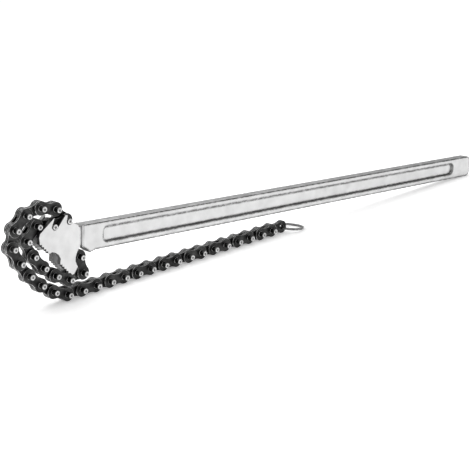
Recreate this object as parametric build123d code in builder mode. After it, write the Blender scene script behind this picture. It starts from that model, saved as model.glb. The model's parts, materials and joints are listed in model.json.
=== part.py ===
import os
from math import asin, atan2, cos, degrees, radians, sin

from build123d import *

# Chain, in millimetres. Its plates keep the proportions of the chain's standard, so they follow the pitch.
pitch = 15.875
plate_height = 0.806 * pitch
plate_waist = 0.58 * pitch
plate_thickness = 1.9
plate_gap = 0.1
pin_diameter = 5.09
pin_running_clearance = 0.07
pin_dimple_diameter = 2.2
pin_dimple_depth = 0.35
pin_end_chamfer = 0.35
pin_overhang = 1.0

# Each link's direction in degrees, from the link on the anchor pin to the one that carries the ring. The
# inner strand runs down and round under the jaw to the notches, and the outer strand comes back over it.
inner_strand_headings = [-44.3, -80.1, -172.0, -206.0, -220.0, -232.7, -249.6, -316.9, -371.8]
hooked_link_heading = 5.7
outer_strand_headings = [129.8, 165.3, 191.1, 220.9, 253.5, 294.1, 302.1, 315.0, 323.8, 337.7]
links_on_floor = 17

# Forging
cheek_thickness = 4.2
slot_side_clearance = 0.35
notch_clearance = 0.6
handle_length = 562.0
handle_height_at_jaw = 24.6
handle_height_at_end = 22.6
handle_thickness = 10.8
handle_edge_radius = 1.0
handle_end_radius = 5.0
recess_depth = 2.6
recess_rim = 5.2
recess_start = 27.6
recess_end_margin = 30.5
recess_draft = 15.0
neck_length = 6.3
throat_height = -1.48 * pitch
slot_end = 0.8 * pitch
recess_corner_radius = 4.5
teeth_per_row = 5
tooth_depth = 1.5
first_notch_walls = (70.0, 51.0)
second_notch_walls = (78.0, 35.0)

# Split ring
ring_wire_width = 2.0
ring_wire_thickness = 1.0
ring_outside_diameter = 29.0
ring_turn_gap = 0.1
ring_hole_clearance = 0.3
ring_crank_at = -60.0
ring_crank_half_angle = 14.0

stack_width = 4 * plate_thickness + 3 * plate_gap
slot_width = stack_width + 2 * slot_side_clearance
jaw_width = slot_width + 2 * cheek_thickness
pin_length = jaw_width + 2 * pin_overhang
lobe_radius = plate_height / 2
pin_radius = pin_diameter / 2

headings = (
    inner_strand_headings + [hooked_link_heading] + outer_strand_headings + [0.0] * links_on_floor
)
first_hooked_pin = len(inner_strand_headings)
last_hooked_pin = first_hooked_pin + 1


def step_along(heading):
    """The move from one pin of a link to the next, in the plane of the chain."""
    return Vector(pitch * cos(radians(heading)), pitch * sin(radians(heading)))


# Pin centres in the plane of the chain, from the last hooked pin both ways
pins = {last_hooked_pin: Vector(0, 0)}
for number in range(last_hooked_pin, len(headings)):
    pins[number + 1] = pins[number] + step_along(headings[number])
for number in range(last_hooked_pin - 1, -1, -1):
    pins[number] = pins[number + 1] - step_along(headings[number])

# The chain's lowest plates touch the floor, and the handle leans down until its far end does too.
hook_height = lobe_radius - min(point.Y for point in pins.values())
handle_root = 0.76 * pitch
handle_mid_height = -1.17 * pitch
handle_end = handle_root + handle_length
end_corner = Vector(
    handle_end - handle_end_radius,
    handle_mid_height - handle_height_at_end / 2 + handle_end_radius,
)
lean = degrees(
    atan2(end_corner.Y, end_corner.X)
    + asin((hook_height - handle_end_radius) / end_corner.length)
)
end_x = end_corner.rotate(Axis.Z, -lean).X + handle_end_radius
left_x = min(point.X for point in pins.values()) - lobe_radius
hook = Vector(-(left_x + end_x) / 2, 0, hook_height)


def link_plane(number, y):
    """A sketch plane at the given y, on a link's first pin and along the link."""
    start, heading = pins[number], radians(headings[number])
    return Plane(
        origin=hook + Vector(start.X, y, start.Y),
        x_dir=(cos(heading), 0, sin(heading)),
        z_dir=(0, -1, 0),
    )


# The jaw and the handle are drawn from the last hooked pin, along and across the handle.
forging_plane = Plane(
    origin=hook, x_dir=(cos(radians(lean)), 0, -sin(radians(lean))), z_dir=(0, -1, 0)
)


def pin_in_forging(number):
    """A pin's centre, along and across the handle."""
    return pins[number].rotate(Axis.Z, lean)


def in_pitches(*points):
    """Points of the jaw's outline, given in chain pitches along and across the handle."""
    return [(along * pitch, across * pitch) for along, across in points]


def draw_plate(hole_radius):
    """One waisted link plate, whose waist arcs are tangent to its round ends."""
    half_waist = plate_waist / 2
    scallop = ((pitch / 2) ** 2 + half_waist**2 - lobe_radius**2) / (2 * (lobe_radius - half_waist))
    shoulder = (half_waist + scallop) * lobe_radius / (lobe_radius + scallop)
    with Locations((0, 0), (pitch, 0)):
        Circle(lobe_radius)
    with Locations((pitch / 2, 0)):
        Rectangle(pitch, 2 * shoulder)
    with Locations((pitch / 2, half_waist + scallop), (pitch / 2, -half_waist - scallop)):
        Circle(scallop, mode=Mode.SUBTRACT)
    with Locations((0, 0), (pitch, 0)):
        Circle(hole_radius, mode=Mode.SUBTRACT)


def tooth_row(start, end):
    """Points of a row of teeth between two points, each tooth standing out square to the row."""
    along = (Vector(*end) - Vector(*start)) / teeth_per_row
    outward = Vector(along.Y, -along.X).normalized() * tooth_depth
    points = []
    for count in range(teeth_per_row):
        root = Vector(*start) + along * count
        points += [root, root + along * 0.5 + outward]
    return [(point.X, point.Y) for point in points] + [end]


def notch(center, wall_angles):
    """The outline of a notch: straight walls, tangent to the round seat of a hooked pin."""
    seat = pin_radius + notch_clearance
    points = [center]
    for angle, side in zip(wall_angles, (1, -1)):
        along = Vector(cos(radians(angle)), sin(radians(angle)))
        touch = center + Vector(-along.Y, along.X) * seat * side
        points += [touch, touch + along * pitch][::side]
    Polygon(*points, align=None)
    with Locations(center):
        Circle(seat)


def save(piece, label):
    piece.label = label
    export_step(piece, f"parts/{label}.step")


os.makedirs("parts", exist_ok=True)

# Inner links: two plates side by side that turn on the pins
inner_faces = [plate_gap / 2 + plate_thickness, -plate_gap / 2]
for count, number in enumerate(range(0, len(headings), 2), 1):
    with BuildPart() as inner_link:
        for y in inner_faces:
            with BuildSketch(link_plane(number, y)):
                draw_plate(pin_radius + pin_running_clearance)
            extrude(amount=plate_thickness)
    save(inner_link.part, f"inner_link_{count:02d}")

# Outer links: two plates outside, pressed on two pins with peened and dimpled ends
outer_faces = [stack_width / 2, -stack_width / 2 + plate_thickness]
for count, number in enumerate(range(1, len(headings), 2), 1):
    with BuildPart() as outer_plates:
        for y in outer_faces:
            with BuildSketch(link_plane(number, y)):
                draw_plate(pin_radius)
            extrude(amount=plate_thickness)
    with BuildPart() as link_pins:
        with BuildSketch(link_plane(number, pin_length / 2)):
            with Locations((0, 0), (pitch, 0)):
                Circle(pin_radius)
        extrude(amount=pin_length)
        chamfer(link_pins.edges().filter_by(GeomType.CIRCLE), length=pin_end_chamfer)
        for y, inward in ((pin_length / 2, 1), (-pin_length / 2, -1)):
            with BuildSketch(link_plane(number, y)):
                with Locations((0, 0), (pitch, 0)):
                    Circle(pin_dimple_diameter / 2)
            extrude(amount=inward * pin_dimple_depth, mode=Mode.SUBTRACT)
    outer_link = Compound(children=[*outer_plates.part.solids(), *link_pins.part.solids()])
    save(outer_link, f"outer_link_{count:02d}")

# Anchor pin, flush with both cheeks
anchor = pin_in_forging(0)
with BuildPart() as anchor_pin:
    with BuildSketch(forging_plane.offset(-jaw_width / 2)):
        with Locations(anchor):
            Circle(pin_radius)
    extrude(amount=jaw_width)
save(anchor_pin.part, "anchor_pin")

# The outline of the jaw, from the first horn down the nose and both rows of teeth to the throat
horn_and_nose = in_pitches((-0.95, 0.385), (-1.965, -0.415), (-2.035, -0.63), (-1.995, -0.89))
upper_row_end = in_pitches((-1.31, -1.595))[0]
relief = in_pitches((-1.18, -1.55), (-0.98, -1.61), (-0.75, -1.765), (-0.61, -2.015))
lower_row_start, lower_row_end = in_pitches((-0.643, -2.21), (0.04, -2.92))
lower_horn = in_pitches((0.17, -3.06), (0.31, -3.0), (0.45, -2.8), (0.54, -2.63))
back_of_horn = in_pitches((0.39, -2.31), (0.435, -1.97), (0.57, -1.69))
lip_and_horn = in_pitches((0.42, -0.22), (0.215, -0.1), (0.0, 0.31), (-0.33, 0.405))
throat = (handle_root, throat_height)
past_jaw = 4 * pitch
heel, heel_end = in_pitches((1.57, -2.05), (1.95, 0))
throat_slope = (throat_height - heel[1]) / (heel[0] - handle_root)
handle_top = handle_mid_height + handle_height_at_jaw / 2
handle_bottom = handle_mid_height - handle_height_at_jaw / 2
with BuildPart() as jaw:
    with BuildSketch(forging_plane):
        with BuildLine():
            Polyline(
                *horn_and_nose[:-1],
                *tooth_row(horn_and_nose[-1], upper_row_end),
                *relief,
                *tooth_row(lower_row_start, lower_row_end),
                *lower_horn,
            )
            Spline(lower_horn[-1], *back_of_horn, throat)
            Polyline(throat, (handle_root, handle_top), *lip_and_horn, horn_and_nose[0])
        make_face()
    extrude(amount=jaw_width / 2, both=True)
    with BuildSketch(forging_plane):
        notch(pin_in_forging(first_hooked_pin), first_notch_walls)
        notch(pin_in_forging(last_hooked_pin), second_notch_walls)
    extrude(amount=jaw_width / 2, both=True, mode=Mode.SUBTRACT)

# The neck thins the jaw down to the handle's thickness with a hollow curve on each side.
step = (jaw_width - handle_thickness) / 2
hollow_radius = (step**2 + neck_length**2) / (2 * step)
neck_plane = Plane(
    origin=forging_plane.from_local_coords((handle_root, handle_top + pitch, 0)),
    x_dir=forging_plane.x_dir,
    z_dir=-forging_plane.y_dir,
)
with BuildPart() as neck:
    with BuildSketch(forging_plane):
        with BuildLine():
            Polyline(
                (handle_root, handle_top),
                (handle_root + neck_length, handle_top),
                (handle_root + neck_length, throat_height - throat_slope * neck_length),
                throat,
                close=True,
            )
        make_face()
    extrude(amount=jaw_width / 2, both=True)
    with BuildSketch(neck_plane):
        for side in (1, -1):
            with Locations((neck_length, side * (handle_thickness / 2 + hollow_radius))):
                Circle(hollow_radius)
    extrude(amount=past_jaw, mode=Mode.SUBTRACT)

# Handle: a long bar of slightly tapering height with rounded end corners
taper = (handle_height_at_jaw - handle_height_at_end) / 2
with BuildPart() as handle:
    with BuildSketch(forging_plane) as handle_side:
        with BuildLine():
            Polyline(
                (handle_root, handle_top),
                (handle_end, handle_top - taper),
                (handle_end, handle_bottom + taper),
                (heel_end[0], handle_bottom),
                heel,
                throat,
                close=True,
            )
        make_face()
        fillet(handle_side.vertices().sort_by(Axis.X)[-2:], radius=handle_end_radius)
    extrude(amount=handle_thickness / 2, both=True)
    sides = handle.faces().sort_by(Axis.Y)
    along_handle = Axis(hook, forging_plane.x_dir)
    rims = [side.edges().sort_by(along_handle)[1:] for side in (sides[0], sides[-1])]
    fillet(rims[0] + rims[1], radius=handle_edge_radius)

# Recesses: one shallow pocket with drafted walls along each side of the handle
recess_from = handle_root + recess_start
recess_to = handle_end - recess_end_margin
slope = taper / handle_length
with BuildPart() as recesses:
    for side in (1, -1):
        with BuildSketch(forging_plane.offset(side * handle_thickness / 2)) as recess_side:
            with BuildLine():
                Polyline(
                    (recess_from, handle_top - recess_rim - slope * recess_start),
                    (recess_to, handle_top - recess_rim - slope * (recess_to - handle_root)),
                    (recess_to, handle_bottom + recess_rim + slope * (recess_to - handle_root)),
                    (recess_from, handle_bottom + recess_rim + slope * recess_start),
                    close=True,
                )
            make_face()
            fillet(recess_side.vertices(), radius=recess_corner_radius)
        extrude(amount=-side * recess_depth, taper=recess_draft)

# Slot between the cheeks, open from the nose to the throat, in which the chain runs
with BuildPart() as slot:
    with BuildSketch(forging_plane):
        with Locations((slot_end, -pitch)):
            Rectangle(past_jaw, 2 * past_jaw, align=(Align.MAX, Align.CENTER))
    extrude(amount=slot_width / 2, both=True)

with BuildPart() as anchor_hole:
    with BuildSketch(forging_plane):
        with Locations(anchor):
            Circle(pin_radius)
    extrude(amount=jaw_width, both=True)

with BuildPart() as forging:
    add([jaw.part, neck.part, handle.part])
    add([recesses.part, slot.part, anchor_hole.part], mode=Mode.SUBTRACT)
save(forging.part, "handle_and_jaw")

# Split ring: two turns of flat wire that pass into each other over a short crank. It hangs in the last
# link's free hole and leans down to the floor.
ring_radius = (ring_outside_diameter - ring_wire_width) / 2
free_hole = hook + Vector(pins[len(headings)].X, 0, pins[len(headings)].Y)
ring_thickness = 2 * ring_wire_thickness + ring_turn_gap
ring_near = free_hole - Vector(0, 0, pin_radius - ring_thickness / 2 - ring_hole_clearance)
ring_tilt = asin((ring_near.Z - ring_thickness / 2) / (2 * ring_radius + ring_wire_width / 2))
ring_plane = Plane(
    origin=ring_near + Vector(cos(ring_tilt), 0, -sin(ring_tilt)) * ring_radius,
    x_dir=(cos(ring_tilt), 0, -sin(ring_tilt)),
    z_dir=(sin(ring_tilt), 0, cos(ring_tilt)),
)
turn_offset = (ring_wire_thickness + ring_turn_gap) / 2


def across_wire(angle):
    """A plane across the ring's wire, at an angle round the ring."""
    turn = radians(angle)
    radial = ring_plane.x_dir * cos(turn) + ring_plane.y_dir * sin(turn)
    along = ring_plane.y_dir * cos(turn) - ring_plane.x_dir * sin(turn)
    return Plane(origin=ring_plane.origin, x_dir=radial, z_dir=-along)


def wire_section(layer):
    with Locations((ring_radius, layer * turn_offset)):
        Rectangle(ring_wire_width, ring_wire_thickness)


with BuildPart() as split_ring:
    for layer in (-1, 1):
        with BuildSketch(across_wire(ring_crank_at + ring_crank_half_angle)):
            wire_section(layer)
        revolve(
            axis=Axis(ring_plane.origin, ring_plane.z_dir),
            revolution_arc=360 - 2 * ring_crank_half_angle,
        )
    for layer in (-1, 1):
        with BuildSketch(across_wire(ring_crank_at + layer * ring_crank_half_angle)):
            wire_section(layer)
    loft()
save(split_ring.part, "split_ring")
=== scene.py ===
"""A chain pipe wrench on a white studio floor: plated forging, black chain, bright pin ends, split ring."""

import json
import math

import bpy
from mathutils import Matrix, Vector


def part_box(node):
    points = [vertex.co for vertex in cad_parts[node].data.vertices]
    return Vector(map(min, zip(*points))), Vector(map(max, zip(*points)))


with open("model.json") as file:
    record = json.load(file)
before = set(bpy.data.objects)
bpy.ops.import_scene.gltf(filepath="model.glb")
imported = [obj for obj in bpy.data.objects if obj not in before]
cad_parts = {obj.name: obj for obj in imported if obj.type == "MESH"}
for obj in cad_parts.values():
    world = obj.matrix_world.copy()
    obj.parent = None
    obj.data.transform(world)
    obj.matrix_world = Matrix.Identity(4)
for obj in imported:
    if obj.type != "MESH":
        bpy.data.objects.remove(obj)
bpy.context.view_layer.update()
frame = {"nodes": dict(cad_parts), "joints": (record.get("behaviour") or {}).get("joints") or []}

# Camera, in degrees and metres. The focal length is in pixels of the photograph, 470 wide.
CAMERA_AZIMUTH = -43.098
CAMERA_ELEVATION = 17.060
CAMERA_ROLL = -1.762
CAMERA_PLACE = (-0.92031, -0.92967, 0.40273)
FOCAL_PIXELS = 1360.6
PHOTO_WIDTH = 470
SENSOR_WIDTH = 36.0

# Pin ends, in metres: how far from the middle they reach, how deep their bright rim and their dimple go
PIN_TIP_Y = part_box("outer_link_01")[1][1]
PEENED_DEPTH = 0.0002
DIMPLE_DEPTH = 0.0004

# Places along the forging, in metres: where the jaw's cheeks, the neck and the heel's slope end
PIVOTS = {joint["name"]: joint["pos_m"] for joint in frame["joints"]}
PIVOT_TO_JAW_END = 0.009
NECK_LENGTH = 0.008
HEEL_LENGTH = 0.009
JAW_END_X = PIVOTS["pivot_11"][0] + PIVOT_TO_JAW_END
NECK_END_X = JAW_END_X + NECK_LENGTH
HEEL_X = NECK_END_X + HEEL_LENGTH

# How wide the edge marks reach, in metres; the grey of the forging's painted shade, the grey of the chain's
# bright edges (part wear, part painted highlight) and the grey of the painted shade in the pin ends'
# dimples
FORGING_EDGE = 0.003
CHAIN_EDGE = 0.0006
PAINTED_SHADE_GREY = 0.07
WEAR_AND_HIGHLIGHT_GREY = 0.8
DIMPLE_SHADE_GREY = 0.17

FORGING_NODES = ("handle_and_jaw", "anchor_pin")
RING_NODE = "split_ring"

FLOOR_HALF_WIDTH = 6.0


def add_camera():
    """The photograph's viewpoint."""
    azimuth, elevation, roll = (math.radians(a) for a in (CAMERA_AZIMUTH, CAMERA_ELEVATION, CAMERA_ROLL))
    back = Vector((
        math.sin(azimuth) * math.cos(elevation),
        -math.cos(azimuth) * math.cos(elevation),
        math.sin(elevation),
    ))
    level_right = Vector((math.cos(azimuth), math.sin(azimuth), 0))
    level_up = back.cross(level_right)
    right = math.cos(roll) * level_right + math.sin(roll) * level_up
    up = math.cos(roll) * level_up - math.sin(roll) * level_right
    data = bpy.data.cameras.new("camera")
    data.sensor_width = SENSOR_WIDTH
    data.lens = FOCAL_PIXELS / PHOTO_WIDTH * SENSOR_WIDTH
    data.clip_start = 0.01
    data.clip_end = 50
    camera = bpy.data.objects.new("camera", data)
    bpy.context.scene.collection.objects.link(camera)
    camera.matrix_world = Matrix.Translation(CAMERA_PLACE) @ Matrix((right, up, back)).transposed().to_4x4()
    bpy.context.scene.camera = camera


def grey(tone):
    """A grey as a colour with full alpha."""
    return (tone, tone, tone, 1)


class Nodes:
    """A small helper that builds one material's node tree."""

    def __init__(self, name):
        self.material = bpy.data.materials.new(name)
        self.material.use_nodes = True
        self.tree = self.material.node_tree
        self.tree.nodes.clear()
        self.output = self.add("ShaderNodeOutputMaterial")
        self.shader = self.add("ShaderNodeBsdfPrincipled")
        self.link(self.shader, "BSDF", self.output, "Surface")

    def add(self, kind, **settings):
        node = self.tree.nodes.new(kind)
        for key, value in settings.items():
            setattr(node, key, value)
        return node

    def link(self, source, output, target, socket):
        self.tree.links.new(source.outputs[output], target.inputs[socket])

    def shade(self, socket, value):
        """A constant on one of the shader's own sockets."""
        self.shader.inputs[socket].default_value = value

    def noise(self, scale, detail=3.0, roughness=0.5):
        """Noise over the object's own space, with its scale in features per metre."""
        coordinates = self.add("ShaderNodeTexCoord")
        noise = self.add("ShaderNodeTexNoise")
        noise.inputs["Scale"].default_value = scale
        noise.inputs["Detail"].default_value = detail
        noise.inputs["Roughness"].default_value = roughness
        self.link(coordinates, "Object", noise, "Vector")
        return noise

    def ramp(self, source, output, stops):
        """A colour ramp with (place, grey) stops."""
        ramp = self.add("ShaderNodeValToRGB")
        elements = ramp.color_ramp.elements
        while len(elements) < len(stops):
            elements.new(1.0)
        for element, (place, tone) in zip(elements, stops):
            element.position = place
            element.color = grey(tone)
        self.link(source, output, ramp, "Fac")
        return ramp

    def math(self, operation, first, second=None):
        """A math node; first and second are numbers or (node, output) pairs."""
        node = self.add("ShaderNodeMath", operation=operation)
        for index, item in enumerate((first, second)):
            if isinstance(item, tuple):
                self.tree.links.new(item[0].outputs[item[1]], node.inputs[index])
            elif item is not None:
                node.inputs[index].default_value = item
        return node

    def mix(self, factor, first, second):
        """A colour mix; factor is a (node, output) pair, the others are such pairs or greys."""
        node = self.add("ShaderNodeMix", data_type="RGBA")
        for index, item in ((0, factor), (6, first), (7, second)):
            if isinstance(item, tuple):
                self.tree.links.new(item[0].outputs[item[1]], node.inputs[index])
            else:
                node.inputs[index].default_value = grey(item)
        return node

    def bevel(self, radius):
        """Normals rounded over sharp edges within the radius, in metres."""
        bevel = self.add("ShaderNodeBevel", samples=8)
        bevel.inputs["Radius"].default_value = radius
        return bevel

    def sharpness(self, bevel):
        """0 on flats, and more the closer a point is to a sharp edge."""
        geometry = self.add("ShaderNodeNewGeometry")
        dot = self.add("ShaderNodeVectorMath", operation="DOT_PRODUCT")
        self.link(bevel, "Normal", dot, 0)
        self.link(geometry, "Normal", dot, 1)
        return self.math("SUBTRACT", 1.0, (dot, "Value"))

    def object_axis(self, output, axis):
        """One axis of the object's own space, of its coordinates or its normals."""
        coordinates = self.add("ShaderNodeTexCoord")
        split = self.add("ShaderNodeSeparateXYZ")
        self.link(coordinates, output, split, 0)
        return split, axis

    def bumps(self, grains, normal=None):
        """Layers of grain, each a (source node, strength, height in metres), over an optional normal."""
        for source, strength, height in grains:
            bump = self.add("ShaderNodeBump")
            bump.inputs["Strength"].default_value = strength
            bump.inputs["Distance"].default_value = height
            self.link(source, "Fac", bump, "Height")
            if normal:
                self.link(normal, "Normal", bump, "Normal")
            normal = bump
        self.link(normal, "Normal", self.shader, "Normal")


def rim_shade(nodes, along, squared, forward):
    """Painted shade: 1 where the handle's faces round over, less on the neck and on the recesses' far
    walls.
    """
    past_jaw = nodes.math("GREATER_THAN", along, JAW_END_X)
    past_neck = nodes.math("GREATER_THAN", along, NECK_END_X)
    stops = [(0.05, 0.0), (0.065, 0.3), (0.3, 0.4), (0.5, 1.0), (0.985, 1.0), (0.999, 0.0)]
    rims = nodes.ramp(squared, 0, stops)
    on_neck = nodes.math("MULTIPLY", (past_jaw, 0), 0.3)
    rims = nodes.math("MULTIPLY", (rims, "Color"), (nodes.math("MAXIMUM", (on_neck, 0), (past_neck, 0)), 0))
    far_wall = nodes.ramp(forward, 0, [(0.3, 1.0), (0.6, 0.5)])
    return nodes.math("MULTIPLY", (rims, 0), (far_wall, "Color"))


def edge_shade_lines(nodes, along, squared):
    """Painted shade lines: 1 in a line along the sharp edges past the jaw, strongest on the sides and at
    their lower edges.
    """
    bevel = nodes.bevel(FORGING_EDGE)
    line = nodes.ramp(nodes.sharpness(bevel), 0, [(0.003, 0.0), (0.05, 0.9)])
    tilt = nodes.add("ShaderNodeSeparateXYZ")
    nodes.link(bevel, "Normal", tilt, 0)
    # Painted shade: the lines are darker where the edge turns downward.
    lower = nodes.ramp(nodes.math("MULTIPLY", (tilt, "Z"), -1.0), 0, [(0.03, 0.0), (0.16, 0.6)])
    line = nodes.math("MAXIMUM", (line, "Color"), (lower, "Color"))
    on_side = nodes.ramp(squared, 0, [(0.4, 0.6), (0.5, 1.0)])
    line = nodes.math("MULTIPLY", (line, 0), (on_side, "Color"))
    past_jaw = nodes.math("GREATER_THAN", along, JAW_END_X)
    return nodes.math("MULTIPLY", (line, 0), (past_jaw, 0))


def front_shade(nodes, along, forward):
    """Painted shade: 1 on the faces up to the heel that face the chain's loop, and on the underside of the
    jaw.
    """
    downward = nodes.math("MULTIPLY", nodes.object_axis("Normal", "Z"), -1.0)
    under_jaw = nodes.math("MULTIPLY", (downward, 0), (nodes.math("LESS_THAN", along, JAW_END_X), 0))
    front = nodes.ramp(nodes.math("MAXIMUM", (forward, 0), (under_jaw, 0)), 0, [(0.3, 0.0), (0.6, 0.85)])
    return nodes.math("MULTIPLY", (front, "Color"), (nodes.math("LESS_THAN", along, HEEL_X), 0))


def forged_steel():
    """Satin plated forging: pale, faintly mottled and grained, with painted shade on its rounded and sharp
    edges, on the faces up to the heel that face the chain's loop and under the jaw.
    """
    nodes = Nodes("forged_steel")
    nodes.shade("Metallic", 1.0)
    nodes.shade("Specular Tint", grey(0.3))
    along = nodes.object_axis("Object", "X")
    sideways = nodes.object_axis("Normal", "Y")
    squared = nodes.math("MULTIPLY", sideways, sideways)
    forward = nodes.math("MULTIPLY", nodes.object_axis("Normal", "X"), -1.0)
    rims = rim_shade(nodes, along, squared, forward)
    lines = edge_shade_lines(nodes, along, squared)
    patchy = nodes.ramp(nodes.noise(240, detail=4), "Fac", [(0.38, 0.55), (0.55, 1.0)])
    # Painted shade: the rounded rims and edge lines, made patchy, and the faces towards the chain's loop,
    # mixed towards a dark grey.
    edge = nodes.math("MULTIPLY", (nodes.math("MAXIMUM", (rims, 0), (lines, 0)), 0), (patchy, "Color"))
    edge = nodes.math("MAXIMUM", (edge, 0), (front_shade(nodes, along, forward), 0))
    tone = nodes.ramp(nodes.noise(70, detail=6, roughness=0.6), "Fac", [(0.3, 0.61), (0.7, 0.7)])
    colour = nodes.mix((edge, 0), (tone, "Color"), PAINTED_SHADE_GREY)
    nodes.link(colour, 2, nodes.shader, "Base Color")
    rough = nodes.ramp(nodes.noise(130, detail=5), "Fac", [(0.3, 0.3), (0.7, 0.44)])
    nodes.link(rough, "Color", nodes.shader, "Roughness")
    nodes.bumps([(nodes.noise(260, detail=4), 0.25, 0.0004), (nodes.noise(1500, detail=2), 0.12, 0.0002)])
    return nodes.material


def chain_steel():
    """Black oxide with an oily sheen and bright edges that are part wear and part painted highlight, and
    pin ends peened bright round a dimple painted dark as shade.
    """
    nodes = Nodes("chain_steel")
    nodes.shade("Metallic", 1.0)
    out = nodes.math("ABSOLUTE", nodes.object_axis("Object", "Y"))
    peened = nodes.math("GREATER_THAN", (out, 0), PIN_TIP_Y - PEENED_DEPTH)
    # Painted shade: the dimple's floor, just below the bright rim, is painted dark.
    dimple_shade = nodes.math("GREATER_THAN", (out, 0), PIN_TIP_Y - DIMPLE_DEPTH)
    body = nodes.ramp(nodes.noise(160, detail=5), "Fac", [(0.35, 0.03), (0.7, 0.07)])
    bevel = nodes.bevel(CHAIN_EDGE)
    # Bright edges: part wear, part painted highlight along the plates' outlines.
    wear_and_highlight = nodes.ramp(nodes.sharpness(bevel), 0, [(0.005, 0.0), (0.09, 1.0)])
    rub = nodes.ramp(nodes.noise(350, detail=4), "Fac", [(0.38, 0.2), (0.58, 1.0)])
    wear_and_highlight = nodes.math("MULTIPLY", (wear_and_highlight, "Color"), (rub, "Color"))
    colour = nodes.mix((wear_and_highlight, 0), (body, "Color"), WEAR_AND_HIGHLIGHT_GREY)
    colour = nodes.mix((dimple_shade, 0), (colour, 2), DIMPLE_SHADE_GREY)
    pin = nodes.ramp(nodes.noise(900, detail=3), "Fac", [(0.35, 0.45), (0.65, 0.8)])
    colour = nodes.mix((peened, 0), (colour, 2), (pin, "Color"))
    nodes.link(colour, 2, nodes.shader, "Base Color")
    rough = nodes.ramp(nodes.noise(220, detail=4), "Fac", [(0.3, 0.3), (0.7, 0.5)])
    nodes.link(rough, "Color", nodes.shader, "Roughness")
    nodes.bumps([(nodes.noise(1100, detail=2), 0.2, 0.0002)], bevel)
    return nodes.material


def ring_steel():
    """Drawn wire, bright but a little scuffed."""
    nodes = Nodes("ring_steel")
    nodes.shade("Metallic", 1.0)
    tone = nodes.ramp(nodes.noise(500, detail=3), "Fac", [(0.3, 0.12), (0.7, 0.34)])
    nodes.link(tone, "Color", nodes.shader, "Base Color")
    rough = nodes.ramp(nodes.noise(300, detail=3), "Fac", [(0.3, 0.22), (0.7, 0.36)])
    nodes.link(rough, "Color", nodes.shader, "Roughness")
    nodes.bumps([(nodes.noise(900, detail=2), 0.1, 0.0001)], nodes.bevel(CHAIN_EDGE))
    return nodes.material


def dress_frame():
    """Each CAD node keeps its shape and gets its own finish; the links and their pins are chain."""
    forging = forged_steel()
    chain = chain_steel()
    ring = ring_steel()
    finishes = {name: forging for name in FORGING_NODES}
    finishes[RING_NODE] = ring
    for name, node in frame["nodes"].items():
        node.data.materials.clear()
        node.data.materials.append(finishes.get(name, chain))


def add_floor():
    """A white sweep that is wide enough for every view."""
    half = FLOOR_HALF_WIDTH
    corners = [(-half, -half, 0), (half, -half, 0), (half, half, 0), (-half, half, 0)]
    mesh = bpy.data.meshes.new("floor")
    mesh.from_pydata(corners, [], [(0, 1, 2, 3)])
    floor = bpy.data.objects.new("floor", mesh)
    bpy.context.scene.collection.objects.link(floor)
    nodes = Nodes("floor")
    nodes.shade("Base Color", grey(0.9))
    nodes.shade("Roughness", 0.9)
    nodes.shade("Specular IOR Level", 0.1)
    nodes.shade("Emission Color", grey(1))
    nodes.shade("Emission Strength", 0.35)
    mesh.materials.append(nodes.material)


def add_light(name, place, target, size, power):
    """A rectangular softbox that faces its target."""
    data = bpy.data.lights.new(name, "AREA")
    data.shape = "RECTANGLE"
    data.size, data.size_y = size
    data.energy = power
    light = bpy.data.objects.new(name, data)
    bpy.context.scene.collection.objects.link(light)
    light.location = place
    light.rotation_euler = (Vector(target) - Vector(place)).to_track_quat("-Z", "Y").to_euler()


def add_world():
    """A studio that is bright overhead and dark on the near side, in front of a plain white backdrop."""
    world = bpy.data.worlds.new("studio")
    bpy.context.scene.world = world
    world.use_nodes = True
    tree = world.node_tree
    coordinates = tree.nodes.new("ShaderNodeTexCoord")
    split = tree.nodes.new("ShaderNodeSeparateXYZ")
    tree.links.new(coordinates.outputs["Generated"], split.inputs[0])
    weighted = tree.nodes.new("ShaderNodeMath")
    weighted.operation = "MULTIPLY_ADD"
    weighted.inputs[1].default_value = 0.5
    tree.links.new(split.outputs["Y"], weighted.inputs[0])
    tree.links.new(split.outputs["Z"], weighted.inputs[2])
    ramp = tree.nodes.new("ShaderNodeValToRGB")
    for element, (place, tone) in zip(ramp.color_ramp.elements, [(0.0, 0.1), (0.9, 0.9)]):
        element.position = place
        element.color = grey(tone)
    tree.links.new(weighted.outputs[0], ramp.inputs["Fac"])
    backdrop = tree.nodes.new("ShaderNodeMix")
    backdrop.data_type = "RGBA"
    seen = tree.nodes.new("ShaderNodeLightPath")
    tree.links.new(seen.outputs["Is Camera Ray"], backdrop.inputs[0])
    tree.links.new(ramp.outputs["Color"], backdrop.inputs[6])
    backdrop.inputs[7].default_value = grey(1)
    tree.links.new(backdrop.outputs[2], tree.nodes["Background"].inputs["Color"])


def add_lights():
    """A large softbox above and behind, and a weaker one on the left."""
    add_light("overhead", place=(0.0, 0.5, 1.3), target=(0, 0, 0), size=(2.4, 1.4), power=16)
    add_light("left", place=(-1.5, -0.4, 0.9), target=(-0.1, 0, 0), size=(0.8, 0.8), power=3)


add_camera()
add_floor()
add_world()
add_lights()
dress_frame()
bpy.context.scene.view_settings.view_transform = "Standard"
